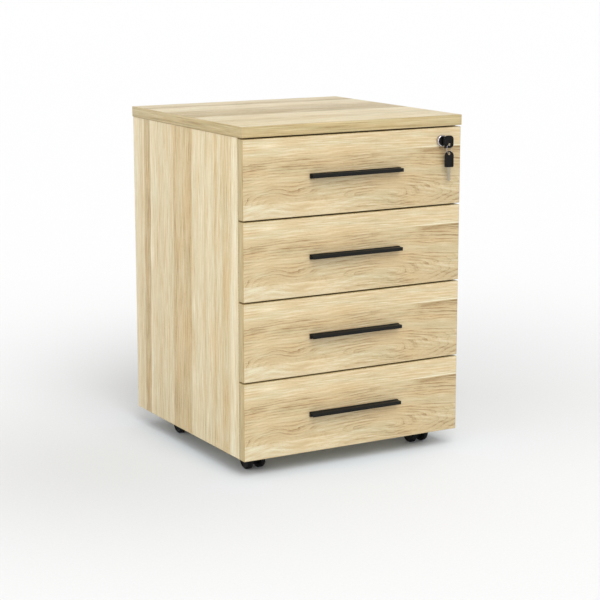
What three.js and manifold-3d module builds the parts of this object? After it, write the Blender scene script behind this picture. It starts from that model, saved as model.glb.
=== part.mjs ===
// Rolling pedestal cabinet: an oak-faced case on four twin-wheel castors, with
// four equal drawers on roller runners, a bar handle on each front and a
// folding key in the lock of the top drawer.
// Millimetres, +Z up, fronts facing -Y, left and right as seen from the front.
// The origin is on the floor, under the middle of the whole object's box.
import * as THREE from 'three';
import { mergeVertices } from 'three/addons/utils/BufferGeometryUtils.js';
import Module from 'manifold-3d';

const wasm = await Module();
wasm.setup();

// ---------------------------------------------------------------------------
// Driving dimensions
// ---------------------------------------------------------------------------
const TOTAL_HEIGHT = 642;
const TOP_WIDTH = 466;
const TOP_DEPTH = 460;
const TOP_THICKNESS = 19.5;
const OVERHANG = 1.2; // the top stands proud of the sides, fronts and back
const BOARD = 18; // sides and drawer fronts
const THIN_BOARD = 16; // back, base, drawer backs and drawer bottoms
const CLEARANCE = 34; // floor to the lower edge of the case
const GAP = 0.3; // between pieces that touch

const DRAWER_COUNT = 4;
const FRONT_GAP = 3; // between drawer fronts, and under the top

const HANDLE_LENGTH = 192;
const HANDLE_REACH = 15.2; // outer face of the fronts to the handle's lip
const HANDLE_BAR = { thick: 4.7, below: 4.5, above: 4.5 };
const HANDLE_LIP = { thick: 2.5, below: 3, above: 3.5 };
const HANDLE_WEB = 2;

const STEEL = 1.2; // sheet of the drawer sides and the runners
const RUNNER_SPACE = 12.8; // case side to drawer side
const SIDE_LENGTH = 400;
const SIDE_HEIGHT = 76;
const SIDE_RISE = 35; // lower edge of a front to the bottom of its drawer sides
const BOTTOM_FLANGE = 12;
const SLIDE_FLANGE = 8.8; // stands out over the case's runner
const SLIDE_FLANGE_RISE = 23.5;
const SLIDE_LIP = 5.5;
const TOP_RETURN = 5;
const RUNNER_RISE = 2; // bottom of a drawer side to the bottom of its runner
const RUNNER_HEIGHT = 20;
const RUNNER_LOWER_FLANGE = 9.1;
const RUNNER_UPPER_FLANGE = 4.8;
const RUNNER_SETBACK = 20.5; // front edge of the case side to the runner
const RUNNER_LENGTH = 379;
const FRONT_ROLLER = { radius: 9.7, width: 5.5, fromEnd: 12, rise: 11.5 };
const REAR_ROLLER = { radius: 8.2, width: 7, fromEnd: 10, rise: 9.7 };
const ROLLER_STUB = 3;

const WHEEL_RADIUS = 20;
const WHEEL_WIDTH = 10.7;
const WHEEL_SHOULDER = 4.5;
const WHEEL_FACETS = 24;
const HOOD_WIDTH = 15;
const WHEEL_PLAY = 0.5; // hood to wheel
const AXLE_RADIUS = 3;
const CASTOR_TRAIL = 14; // swivel axis to axle
const CASTOR_HEIGHT = 50;
const CASTOR_INSET_X = 52; // edge of the top to the swivel axis
const CASTOR_FROM_FACE = { front: 77.4, rear: 359 };
const CASTOR_PLATE = { width: 38, thick: 2.2 };
const KINGPIN_RADIUS = 4;

const LOCK_X = 187.5;
const LOCK_Z = 595.5;
const BEZEL = { radius: 10.8, reach: 6.4 };
const BARREL = { radius: 8, depth: 24 };
const PLUG_RADIUS = 5;
const CAM = { thick: 2, width: 9, length: 19 };
const COLLAR = { radius: 9.4, rim: 2, base: 0.9, reach: 8.5 };
const BLADE = { thick: 1.6, width: 6.4 };
const HEAD_REACH = 11; // outer face of the fronts to the head's middle
const HEAD = { length: 20, start: 3, below: 13.6, above: 9.8, thick: 3.4, corner: 7.5, innerCorner: 2.5 };
const HEAD_FOOT = { start: 0.4, top: -8.8, corner: 2 }; // the head's lower corner passes under the lower ear
const HEAD_HOLE = { x: 11.3, z: -7.1, radius: 2.8, pocket: 6.2, web: 0.9 };
const KNUCKLE = { radius: 2.6, half: 5.5, ear: 2.4, earHeight: 2.5, pin: 1 };
const RING = { radius: 8.6, wire: 0.55, skew: 24 };
const SPARE = { width: 18, above: 5, below: 25.3, thick: 2, hole: 2.7, turn: -12 };
const SPARE_BLADE = { width: 6.5, length: 26, thick: 1.6 };

const BAR = { width: 12, thick: 5, setback: 6, bottom: 90, top: 604, travel: 6 };
const BAR_GROOVE = 7;
const BAR_PEG = { radius: 2.5, end: 206.5, play: 0.6 };
const BAR_TAB = { start: 203, thick: 3 };

// ---------------------------------------------------------------------------
// Places worked out from them
// ---------------------------------------------------------------------------
const OVERALL_DEPTH = TOP_DEPTH - OVERHANG + HANDLE_REACH;
const FACE_Y = HANDLE_REACH - OVERALL_DEPTH / 2; // outer face of the drawer fronts
const BACK_Y = OVERALL_DEPTH / 2;
const CASE_FRONT_Y = FACE_Y + BOARD + GAP;
const CASE_BACK_Y = BACK_Y - OVERHANG;
const OUTER_X = TOP_WIDTH / 2 - OVERHANG;
const INNER_X = OUTER_X - BOARD;
const TOP_UNDERSIDE = TOTAL_HEIGHT - TOP_THICKNESS;
const FRONT_HEIGHT = (TOP_UNDERSIDE - CLEARANCE) / DRAWER_COUNT - FRONT_GAP;
const SIDE_OUTER_X = INNER_X - RUNNER_SPACE; // outer face of the steel drawer sides
const SIDE_INNER_X = SIDE_OUTER_X - STEEL;
const HEAD_Y = FACE_Y - HEAD_REACH;
const HOLE_X = LOCK_X + HEAD_HOLE.x;
const HOLE_Z = LOCK_Z + HEAD_HOLE.z;

// Lower edge of a drawer front; drawer 1 is the top one.
function frontBottom(number) {
  return CLEARANCE + (DRAWER_COUNT - number) * (FRONT_HEIGHT + FRONT_GAP);
}

function sideBottom(number) {
  return frontBottom(number) + SIDE_RISE;
}

// ---------------------------------------------------------------------------
// Finishes
// ---------------------------------------------------------------------------
function finish(color, roughness, metalness) {
  return () => new THREE.MeshStandardMaterial({ color, roughness, metalness });
}

const oak = finish(0xdcc79b, 0.55, 0);
const blackMetal = finish(0x26241f, 0.4, 0.5);
const blackPlastic = finish(0x1a1a1b, 0.45, 0);
const greySteel = finish(0xb9bbbc, 0.4, 0.7);
const brightSteel = finish(0xb4b1a8, 0.3, 1);
const chrome = finish(0xd9dadb, 0.12, 1);
const greyBoard = finish(0xc9c8c4, 0.6, 0);

// ---------------------------------------------------------------------------
// Shape helpers
// ---------------------------------------------------------------------------
const X = new THREE.Vector3(1, 0, 0);
const Y = new THREE.Vector3(0, 1, 0);
const Z = new THREE.Vector3(0, 0, 1);
const OUTWARD = new THREE.Vector3(0, -1, 0);

const cabinet = new THREE.Group();

function addPiece(name, geometry, material) {
  const mesh = new THREE.Mesh(geometry, material());
  mesh.name = name;
  cabinet.add(mesh);
  return mesh;
}

function box([x0, x1], [y0, y1], [z0, z1]) {
  const geometry = new THREE.BoxGeometry(x1 - x0, y1 - y0, z1 - z0);
  return geometry.translate((x0 + x1) / 2, (y0 + y1) / 2, (z0 + z1) / 2);
}

// An outline drawn along the directions right and up, extruded to the given
// length both ways from the plane through the origin.
function extrude(outline, length, right, up) {
  const shape = outline instanceof THREE.Shape
    ? outline
    : new THREE.Shape(outline.map(([x, y]) => new THREE.Vector2(x, y)));
  const options = { depth: length, bevelEnabled: false, curveSegments: 10 };
  const geometry = new THREE.ExtrudeGeometry(shape, options);
  geometry.translate(0, 0, -length / 2);
  const along = new THREE.Vector3().crossVectors(right, up);
  return geometry.applyMatrix4(new THREE.Matrix4().makeBasis(right, up, along));
}

// A round rod along an axis, between two places on it.
function rod(radius, axis, [start, end], facets = 20) {
  const geometry = new THREE.CylinderGeometry(radius, radius, end - start, facets);
  geometry.rotateY(Math.PI / facets);
  geometry.translate(0, (start + end) / 2, 0);
  if (axis === X) geometry.rotateZ(-Math.PI / 2);
  if (axis === Z) geometry.rotateX(Math.PI / 2);
  return geometry;
}

function roundedRectangle([x0, x1], [y0, y1], radius, leftRadius = radius) {
  const shape = new THREE.Shape();
  shape.absarc(x1 - radius, y0 + radius, radius, -Math.PI / 2, 0);
  shape.absarc(x1 - radius, y1 - radius, radius, 0, Math.PI / 2);
  shape.absarc(x0 + leftRadius, y1 - leftRadius, leftRadius, Math.PI / 2, Math.PI);
  shape.absarc(x0 + leftRadius, y0 + leftRadius, leftRadius, Math.PI, 1.5 * Math.PI);
  return shape;
}

function toSolid(geometry) {
  const bare = geometry.clone();
  bare.deleteAttribute('normal');
  bare.deleteAttribute('uv');
  const merged = mergeVertices(bare, 1e-4);
  const index = merged.index.array;
  const triangles = [];
  for (let i = 0; i < index.length; i += 3) {
    const [a, b, c] = [index[i], index[i + 1], index[i + 2]];
    if (a !== b && b !== c && c !== a) triangles.push(a, b, c);
  }
  return new wasm.Manifold(new wasm.Mesh({
    numProp: 3,
    vertProperties: Float32Array.from(merged.attributes.position.array),
    triVerts: Uint32Array.from(triangles),
  }));
}

function toGeometry(solid) {
  const mesh = solid.getMesh();
  const geometry = new THREE.BufferGeometry();
  geometry.setAttribute('position', new THREE.BufferAttribute(mesh.vertProperties, 3));
  geometry.setIndex(new THREE.BufferAttribute(mesh.triVerts, 1));
  geometry.computeVertexNormals();
  return geometry;
}

function join(...geometries) {
  const [first, ...rest] = geometries.map(toSolid);
  return toGeometry(rest.reduce((whole, piece) => whole.add(piece), first));
}

function cut(geometry, ...tools) {
  return toGeometry(tools.map(toSolid).reduce((left, tool) => left.subtract(tool), toSolid(geometry)));
}

// Mirror a right-hand outline for the left side.
function sided(points, side) {
  return points.map(([x, z]) => [side * x, z]);
}

// ---------------------------------------------------------------------------
// Case: top, sides, back and base
// ---------------------------------------------------------------------------
function addCase() {
  const between = [-INNER_X + GAP, INNER_X - GAP];
  const height = [CLEARANCE, TOP_UNDERSIDE - GAP];
  const depth = [CASE_FRONT_Y, CASE_BACK_Y];
  const backDepth = [CASE_BACK_Y - THIN_BOARD, CASE_BACK_Y];

  const topDepth = [FACE_Y - OVERHANG, BACK_Y];
  const top = box([-TOP_WIDTH / 2, TOP_WIDTH / 2], topDepth, [TOP_UNDERSIDE, TOTAL_HEIGHT]);
  addPiece('top_panel', top, oak);
  addPiece('side_panel_left', box([-OUTER_X, -INNER_X], depth, height), oak);

  const groove = box(
    [INNER_X - 1, INNER_X + BAR_GROOVE],
    [CASE_FRONT_Y + BAR.setback - GAP, CASE_FRONT_Y + BAR.setback + BAR.width + GAP],
    [0, TOTAL_HEIGHT],
  );
  addPiece('side_panel_right', cut(box([INNER_X, OUTER_X], depth, height), groove), oak);

  addPiece('back_panel', box(between, backDepth, height), oak);
  const baseDepth = [CASE_FRONT_Y + FRONT_GAP, backDepth[0] - GAP];
  addPiece('base_panel', box(between, baseDepth, [CASTOR_HEIGHT, CASTOR_HEIGHT + THIN_BOARD]), oak);
}

// ---------------------------------------------------------------------------
// Runners: a C of sheet steel on each case side, with a roller at its front
// ---------------------------------------------------------------------------
function addRunner(number, side) {
  const bottom = sideBottom(number) + RUNNER_RISE;
  const outer = INNER_X - GAP;
  const web = outer - STEEL;
  const outline = [
    [outer, 0],
    [outer, RUNNER_HEIGHT],
    [web - RUNNER_UPPER_FLANGE, RUNNER_HEIGHT],
    [web - RUNNER_UPPER_FLANGE, RUNNER_HEIGHT - STEEL],
    [web, RUNNER_HEIGHT - STEEL],
    [web, STEEL],
    [web - RUNNER_LOWER_FLANGE, STEEL],
    [web - RUNNER_LOWER_FLANGE, 0],
  ];
  const channel = extrude(sided(outline, side), RUNNER_LENGTH, X, Z);
  channel.translate(0, RUNNER_LENGTH / 2, 0);

  const recess = box(
    side > 0 ? [0, web] : [-web, 0],
    [-1, 2 * FRONT_ROLLER.fromEnd],
    [RUNNER_HEIGHT - 2 * STEEL, RUNNER_HEIGHT + 1],
  );
  const rollerInner = web - 1.3 - FRONT_ROLLER.width;
  const roller = rod(FRONT_ROLLER.radius, X, [rollerInner, rollerInner + FRONT_ROLLER.width]);
  const stub = rod(ROLLER_STUB, X, [rollerInner + 1, web + STEEL / 2]);
  for (const geometry of [roller, stub]) {
    if (side < 0) geometry.rotateZ(Math.PI);
    geometry.translate(0, FRONT_ROLLER.fromEnd, FRONT_ROLLER.rise);
  }
  const runner = join(cut(channel, recess), roller, stub);
  runner.translate(0, CASE_FRONT_Y + RUNNER_SETBACK, bottom);
  addPiece(`runner_${side > 0 ? 'right' : 'left'}_${number}`, runner, greySteel);
}

// ---------------------------------------------------------------------------
// Drawers: board front, back and bottom between two sheet-steel sides
// ---------------------------------------------------------------------------
function drawerSide(side) {
  const inner = SIDE_INNER_X;
  const outer = SIDE_OUTER_X;
  const flangeEnd = outer + SLIDE_FLANGE;
  const outline = [
    [inner - BOTTOM_FLANGE, 0],
    [outer, 0],
    [outer, SLIDE_FLANGE_RISE],
    [flangeEnd, SLIDE_FLANGE_RISE],
    [flangeEnd, SLIDE_FLANGE_RISE + SLIDE_LIP],
    [flangeEnd - STEEL, SLIDE_FLANGE_RISE + SLIDE_LIP],
    [flangeEnd - STEEL, SLIDE_FLANGE_RISE + STEEL],
    [outer, SLIDE_FLANGE_RISE + STEEL],
    [outer, SIDE_HEIGHT - STEEL],
    [outer + TOP_RETURN, SIDE_HEIGHT - STEEL],
    [outer + TOP_RETURN, SIDE_HEIGHT],
    [inner, SIDE_HEIGHT],
    [inner, STEEL],
    [inner - BOTTOM_FLANGE, STEEL],
  ];
  const sheet = extrude(sided(outline, side), SIDE_LENGTH, X, Z);
  sheet.translate(0, SIDE_LENGTH / 2, 0);

  const roller = rod(REAR_ROLLER.radius, X, [outer + 2, outer + 2 + REAR_ROLLER.width]);
  const stub = rod(ROLLER_STUB, X, [outer - STEEL / 2, outer + 3]);
  for (const geometry of [roller, stub]) {
    if (side < 0) geometry.rotateZ(Math.PI);
    geometry.translate(0, SIDE_LENGTH - REAR_ROLLER.fromEnd, RUNNER_RISE + REAR_ROLLER.rise);
  }
  return join(sheet, roller, stub);
}

function handle() {
  const reach = HANDLE_REACH;
  const lipBack = reach - HANDLE_LIP.thick;
  const barFront = GAP + HANDLE_BAR.thick;
  const outline = [
    [GAP, -HANDLE_BAR.below],
    [barFront, -HANDLE_BAR.below],
    [barFront, HANDLE_LIP.above - HANDLE_WEB],
    [lipBack, HANDLE_LIP.above - HANDLE_WEB],
    [lipBack, -HANDLE_LIP.below],
    [reach, -HANDLE_LIP.below],
    [reach, HANDLE_LIP.above],
    [barFront, HANDLE_LIP.above],
    [barFront, HANDLE_BAR.above],
    [GAP, HANDLE_BAR.above],
  ];
  return extrude(outline, HANDLE_LENGTH, OUTWARD, Z);
}

function addDrawer(number) {
  const name = `drawer_${number}`;
  const low = frontBottom(number);
  const middle = low + FRONT_HEIGHT / 2;
  const bottom = sideBottom(number);
  const sideFront = CASE_FRONT_Y;
  const sideBack = sideFront + SIDE_LENGTH;
  const between = [-SIDE_INNER_X + GAP, SIDE_INNER_X - GAP];
  const floor = bottom + STEEL + GAP;

  let front = box([-OUTER_X, OUTER_X], [FACE_Y, FACE_Y + BOARD], [low, low + FRONT_HEIGHT]);
  if (number === 1) {
    const lockHole = rod(BARREL.radius + GAP, Y, [FACE_Y - 1, FACE_Y + BOARD + 1], 32);
    front = cut(front, lockHole.translate(LOCK_X, 0, LOCK_Z));
  }
  addPiece(`${name}_front`, front, oak);
  addPiece(`${name}_handle`, handle(), blackMetal).position.set(0, FACE_Y, middle);
  for (const [word, side] of [['left', -1], ['right', 1]]) {
    addPiece(`${name}_side_${word}`, drawerSide(side), greySteel).position.set(0, sideFront, bottom);
  }
  addPiece(`${name}_bottom`, box(between, [sideFront, sideBack], [floor, floor + THIN_BOARD]), greyBoard);
  const backHeight = [floor + THIN_BOARD + GAP, bottom + SIDE_HEIGHT];
  addPiece(`${name}_back`, box(between, [sideBack - THIN_BOARD, sideBack], backHeight), greyBoard);
}

// ---------------------------------------------------------------------------
// Castors: fixed plate with a kingpin, swivelling hood with the axle, two wheels
// ---------------------------------------------------------------------------
function castorPlate() {
  const half = CASTOR_PLATE.width / 2;
  const top = CASTOR_HEIGHT - GAP;
  const outline = roundedRectangle([-half, half], [-half, half], 4);
  const plate = extrude(outline, CASTOR_PLATE.thick, X, Y).translate(0, 0, top - CASTOR_PLATE.thick / 2);
  return join(plate, rod(KINGPIN_RADIUS, Z, [38, top - CASTOR_PLATE.thick / 2]));
}

function castorHood() {
  const discTop = CASTOR_HEIGHT - GAP - CASTOR_PLATE.thick - GAP;
  const discBottom = 2 * WHEEL_RADIUS + 0.6;
  const axle = { y: -CASTOR_TRAIL, z: WHEEL_RADIUS };
  const web = new THREE.Shape();
  web.absarc(axle.y, axle.z, 13, 0.15 * Math.PI, 1.82 * Math.PI, false);
  web.lineTo(11, 30);
  web.lineTo(11, discBottom + 1);
  web.lineTo(-6, discBottom + 1);
  const body = extrude(web, HOOD_WIDTH, Y, Z);
  const disc = rod(14, Z, [discBottom, discTop], 28);
  const end = HOOD_WIDTH / 2 + WHEEL_PLAY + WHEEL_WIDTH - 2;
  const spindle = rod(AXLE_RADIUS, X, [-end, end], 16).translate(0, axle.y, axle.z);
  const socket = rod(KINGPIN_RADIUS + GAP, Z, [37, discTop + 1]);
  return cut(join(body, disc, spindle), socket);
}

// A wheel about the X axis, its bore at x = 0 and its closed hub at the outside.
// The facets touch the rolling circle, so that a flat is at the bottom.
function castorWheel() {
  const grow = 1 / Math.cos(Math.PI / WHEEL_FACETS);
  const bore = AXLE_RADIUS + 2 * GAP;
  const boreEnd = WHEEL_WIDTH - 1.6;
  const shoulder = [0, 0.5, 1].map((part) => {
    const angle = part * Math.PI / 2;
    return [
      WHEEL_RADIUS - WHEEL_SHOULDER * (1 - Math.cos(angle)),
      WHEEL_WIDTH - WHEEL_SHOULDER * (1 - Math.sin(angle)),
    ];
  });
  const profile = [
    [0, boreEnd],
    [bore, boreEnd],
    [bore, 0],
    [WHEEL_RADIUS - 1, 0],
    [WHEEL_RADIUS, 1],
    ...shoulder,
    [12, WHEEL_WIDTH - 1.4],
    [5, WHEEL_WIDTH - 0.4],
    [0, WHEEL_WIDTH],
  ];
  const points = profile.map(([radius, x]) => new THREE.Vector2(radius * grow, x));
  const wheel = new THREE.LatheGeometry(points, WHEEL_FACETS, Math.PI / WHEEL_FACETS);
  return toGeometry(toSolid(wheel.rotateZ(-Math.PI / 2)));
}

function addCastor(place, x, y) {
  const name = `castor_${place}`;
  addPiece(`${name}_plate`, castorPlate(), brightSteel).position.set(x, y, 0);
  addPiece(`${name}_hood`, castorHood(), blackPlastic).position.set(x, y, 0);
  for (const [word, side] of [['left', -1], ['right', 1]]) {
    const wheel = addPiece(`${name}_wheel_${word}`, castorWheel(), blackPlastic);
    wheel.position.set(x + side * (HOOD_WIDTH / 2 + WHEEL_PLAY), y - CASTOR_TRAIL, WHEEL_RADIUS);
    if (side < 0) wheel.rotation.z = Math.PI;
  }
}

// ---------------------------------------------------------------------------
// Lock in the top drawer's front, its key with the folded head, ring and spare
// ---------------------------------------------------------------------------
function lockHousing() {
  const bore = PLUG_RADIUS + GAP;
  const profile = [
    [bore, BARREL.depth],
    [bore, -BEZEL.reach],
    [BEZEL.radius - 1.2, -BEZEL.reach],
    [BEZEL.radius, -BEZEL.reach + 1.2],
    [BEZEL.radius, -GAP],
    [BARREL.radius, -GAP],
    [BARREL.radius, BARREL.depth],
    [bore, BARREL.depth],
  ];
  const points = profile.map(([radius, y]) => new THREE.Vector2(radius, y));
  return toGeometry(toSolid(new THREE.LatheGeometry(points, 32)));
}

function lockPlug() {
  const rear = BARREL.depth + 2 * GAP;
  const plug = rod(PLUG_RADIUS, Y, [-BEZEL.reach + GAP, rear + CAM.thick / 2], 24);
  const cam = box([-CAM.width / 2, CAM.width / 2], [rear, rear + CAM.thick], [-PLUG_RADIUS, CAM.length]);
  const keyway = box(
    [-BLADE.thick / 2 - GAP, BLADE.thick / 2 + GAP],
    [-BEZEL.reach - 1, BARREL.depth - 4],
    [-BLADE.width / 2 - GAP, BLADE.width / 2 + GAP],
  );
  return cut(join(plug, cam), keyway);
}

// Collar, ears and pin for the folding head, and the blade in the keyway.
function keyBody() {
  const baseBack = -BEZEL.reach - GAP;
  const baseFront = baseBack - COLLAR.base;
  const profile = [
    [0, baseBack],
    [0, baseFront],
    [COLLAR.radius - COLLAR.rim, baseFront],
    [COLLAR.radius - COLLAR.rim, -COLLAR.reach],
    [COLLAR.radius, -COLLAR.reach],
    [COLLAR.radius, baseBack],
    [0, baseBack],
  ];
  const points = profile.map(([radius, y]) => new THREE.Vector2(radius, y));
  const collar = new THREE.LatheGeometry(points, 32);
  const blade = box(
    [-BLADE.thick / 2, BLADE.thick / 2],
    [baseFront + COLLAR.base / 2, BARREL.depth - 6],
    [-BLADE.width / 2, BLADE.width / 2],
  );
  const earStart = KNUCKLE.half + GAP;
  const earEnd = earStart + KNUCKLE.earHeight;
  const pin = rod(KNUCKLE.pin, Z, [-earEnd + 1, earEnd - 1], 12).translate(0, -HEAD_REACH, 0);
  const ears = [[earStart, earEnd], [-earEnd, -earStart]].flatMap((height) => [
    rod(KNUCKLE.ear, Z, height, 16).translate(0, -HEAD_REACH, 0),
    box([-KNUCKLE.ear + 0.4, KNUCKLE.ear - 0.4], [-HEAD_REACH, baseFront + COLLAR.base / 2], height),
  ]);
  return join(collar, blade, pin, ears[0], ears[1], ears[2], ears[3]);
}

function keyHead() {
  const outline = roundedRectangle(
    [HEAD.start, HEAD.length],
    [-HEAD.below, HEAD.above],
    HEAD.corner,
    HEAD.innerCorner,
  );
  const plate = extrude(outline, HEAD.thick, X, Z);
  const footOutline = roundedRectangle(
    [HEAD_FOOT.start, HEAD.start + HEAD.corner],
    [-HEAD.below, HEAD_FOOT.top],
    HEAD_FOOT.corner,
  );
  const foot = extrude(footOutline, HEAD.thick, X, Z);
  const neck = box(
    [0, HEAD.start + HEAD.corner],
    [-HEAD.thick / 2, HEAD.thick / 2],
    [-KNUCKLE.half, KNUCKLE.half],
  );
  const barrel = rod(KNUCKLE.radius, Z, [-KNUCKLE.half, KNUCKLE.half], 16);
  const bore = rod(KNUCKLE.pin + GAP, Z, [-HEAD.below, HEAD.above], 12);
  const boreDepth = box([-KNUCKLE.radius, KNUCKLE.radius], [-2, 2], [-KNUCKLE.half - 1, KNUCKLE.half + 1]);
  const pinHole = toGeometry(toSolid(bore).intersect(toSolid(boreDepth)));
  const [x, z] = [HEAD_HOLE.x, HEAD_HOLE.z];
  const hole = rod(HEAD_HOLE.radius, Y, [-HEAD.thick, HEAD.thick], 28).translate(x, 0, z);
  const pockets = [1, -1].map((side) => {
    const span = [side * HEAD_HOLE.web / 2, side * HEAD.thick].sort((a, b) => a - b);
    return rod(HEAD_HOLE.pocket, Y, span, 28).translate(x, 0, z);
  });
  return cut(join(plate, foot, neck, barrel), pinHole, hole, ...pockets);
}

function keyRing() {
  const ring = new THREE.TorusGeometry(RING.radius, RING.wire, 8, 40);
  ring.rotateX(Math.PI / 2);
  return ring.rotateZ(THREE.MathUtils.degToRad(RING.skew));
}

function spareKey() {
  const half = SPARE.width / 2;
  const shape = new THREE.Shape();
  shape.moveTo(-half, -SPARE.below);
  shape.lineTo(half, -SPARE.below);
  shape.absarc(0, SPARE.above - half, half, 0, Math.PI, false);
  const head = extrude(shape, SPARE.thick, X, Z);
  const hole = rod(SPARE.hole, Y, [-SPARE.thick, SPARE.thick], 24);
  const tip = -SPARE.below - SPARE_BLADE.length;
  const bladeHalf = SPARE_BLADE.width / 2;
  const outline = [
    [-bladeHalf, -SPARE.below + 1],
    [-bladeHalf, tip + bladeHalf],
    [-1, tip],
    [1, tip],
    [bladeHalf, tip + bladeHalf],
    [bladeHalf, -SPARE.below + 1],
  ];
  const blade = extrude(outline, SPARE_BLADE.thick, X, Z);
  return cut(join(head, blade), hole).rotateZ(THREE.MathUtils.degToRad(SPARE.turn));
}

// The locking bar runs in the groove of the right side. A tab lies under the
// cam's way and a peg stands over each drawer's slide flange.
function lockBar() {
  const x = [INNER_X + 0.8, INNER_X + 0.8 + BAR.thick];
  const y = [CASE_FRONT_Y + BAR.setback, CASE_FRONT_Y + BAR.setback + BAR.width];
  const camLow = LOCK_Z - CAM.width / 2;
  const tabTop = camLow - BAR_PEG.play + BAR.travel;
  const pieces = [
    box(x, y, [BAR.bottom, BAR.top]),
    box([BAR_TAB.start, x[0] + 1], y, [tabTop - BAR_TAB.thick, tabTop]),
  ];
  for (let number = 1; number <= DRAWER_COUNT; number += 1) {
    const lipTop = sideBottom(number) + SLIDE_FLANGE_RISE + SLIDE_LIP;
    const peg = rod(BAR_PEG.radius, X, [BAR_PEG.end, x[0] + 1], 12);
    const rise = lipTop + BAR_PEG.play + BAR_PEG.radius + BAR.travel;
    pieces.push(peg.translate(0, (y[0] + y[1]) / 2, rise));
  }
  return join(...pieces);
}

function addLock() {
  addPiece('lock_housing', lockHousing(), chrome).position.set(LOCK_X, FACE_Y, LOCK_Z);
  addPiece('lock_plug', lockPlug(), brightSteel).position.set(LOCK_X, FACE_Y, LOCK_Z);
  addPiece('key', keyBody(), blackPlastic).position.set(LOCK_X, FACE_Y, LOCK_Z);
  addPiece('key_head', keyHead(), blackPlastic).position.set(LOCK_X, HEAD_Y, LOCK_Z);
  addPiece('key_ring', keyRing(), brightSteel).position.set(HOLE_X, HEAD_Y, HOLE_Z - RING.radius);
  addPiece('spare_key', spareKey(), blackPlastic).position.set(HOLE_X, HEAD_Y, HOLE_Z - 2 * RING.radius);
  addPiece('lock_bar', lockBar(), greySteel);
}

// ---------------------------------------------------------------------------
// The whole cabinet
// ---------------------------------------------------------------------------
addCase();
for (let number = 1; number <= DRAWER_COUNT; number += 1) {
  addRunner(number, -1);
  addRunner(number, 1);
  addDrawer(number);
}
for (const [row, fromFace] of Object.entries(CASTOR_FROM_FACE)) {
  addCastor(`${row}_left`, -TOP_WIDTH / 2 + CASTOR_INSET_X, FACE_Y + fromFace);
  addCastor(`${row}_right`, TOP_WIDTH / 2 - CASTOR_INSET_X, FACE_Y + fromFace);
}
addLock();

export default cabinet;
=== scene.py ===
import math

import bmesh
import bpy
from mathutils import Matrix, Vector


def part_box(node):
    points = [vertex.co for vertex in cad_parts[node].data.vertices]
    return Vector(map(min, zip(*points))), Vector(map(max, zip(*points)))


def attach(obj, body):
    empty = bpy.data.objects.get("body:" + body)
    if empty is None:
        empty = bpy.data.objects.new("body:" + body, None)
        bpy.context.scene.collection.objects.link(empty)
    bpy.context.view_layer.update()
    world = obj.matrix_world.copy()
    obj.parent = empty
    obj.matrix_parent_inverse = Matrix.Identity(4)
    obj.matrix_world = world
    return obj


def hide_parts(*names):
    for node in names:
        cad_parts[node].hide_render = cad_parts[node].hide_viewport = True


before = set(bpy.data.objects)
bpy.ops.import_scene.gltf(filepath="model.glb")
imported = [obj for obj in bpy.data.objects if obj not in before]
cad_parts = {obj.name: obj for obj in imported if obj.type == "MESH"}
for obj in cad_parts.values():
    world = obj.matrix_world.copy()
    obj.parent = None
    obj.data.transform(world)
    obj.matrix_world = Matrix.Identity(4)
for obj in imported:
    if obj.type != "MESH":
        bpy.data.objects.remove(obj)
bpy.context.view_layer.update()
MM = 0.001
X = Vector((1, 0, 0))
Y = Vector((0, 1, 0))
Z = Vector((0, 0, 1))

# --- Camera, light and floor ---
CAMERA_AZIMUTH = math.radians(29.8)
CAMERA_ELEVATION = math.radians(11.5)
CAMERA_DISTANCE = 3.07
CAMERA_LENS = 105.7
# The top's near corner lies this far left of and above the camera's axis.
CORNER_LEFT = 0.1013
CORNER_ABOVE = 0.3011
# The pale floor carries painted shadow: it darkens a little in two soft round pools beside the cabinet, in
# place of the soft shadow round it: (centre, radius, depth).
FLOOR_TONE = 0.78
SHADOW_POOLS = [((0.36, 0.42), 0.72, 0.15), ((-0.41, -0.02), 0.45, 0.16)]
# Near the cabinet it is painted a touch cooler, against the warm light the boards bounce onto it, and under
# it painted lighter too, which lifts the shadow there.
NEAR_SIZE = 0.8
NEAR_PAINTED_COOL = 0.012
UNDER_SIZE = 0.3
UNDER_PAINTED_LIGHT = 0.2
UNDER_PAINTED_COOL = 0.08
# The surroundings are brighter near the horizon than overhead.
SKY = 0.6
HORIZON = 1.0
# Two suns: the way the light travels, its strength and its spread in degrees.
KEY_LIGHT = ((0.2, 1.0, -1.15), 1.7, 38)
FILL_LIGHT = ((1.0, 0.35, -0.6), 0.6, 80)
FLOOR_HALF = 40


def placed(name, data):
    """A new object in the scene."""
    item = bpy.data.objects.new(name, data)
    bpy.context.scene.collection.objects.link(item)
    return item


def camera_axes():
    """Right, up and forward of a camera that stands to the left and looks slightly down."""
    forward = Vector((
        math.sin(CAMERA_AZIMUTH) * math.cos(CAMERA_ELEVATION),
        math.cos(CAMERA_AZIMUTH) * math.cos(CAMERA_ELEVATION),
        -math.sin(CAMERA_ELEVATION),
    ))
    right = forward.cross(Z).normalized()
    return right, right.cross(forward), forward


def add_camera():
    right, up, forward = camera_axes()
    low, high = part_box("top_panel")
    corner = Vector((low.x, low.y, high.z))
    place = corner + right * CORNER_LEFT - up * CORNER_ABOVE - forward * CAMERA_DISTANCE
    data = bpy.data.cameras.new("camera")
    data.lens = CAMERA_LENS
    data.sensor_width = 36
    camera = placed("camera", data)
    turn = Matrix((right, up, -forward)).transposed().to_4x4()
    camera.matrix_world = Matrix.Translation(place) @ turn
    bpy.context.scene.camera = camera


def add_sun(name, direction, strength, spread):
    data = bpy.data.lights.new(name, "SUN")
    data.energy = strength
    data.angle = math.radians(spread)
    light = placed(name, data)
    light.rotation_euler = Vector(direction).to_track_quat("-Z", "Y").to_euler()


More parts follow.
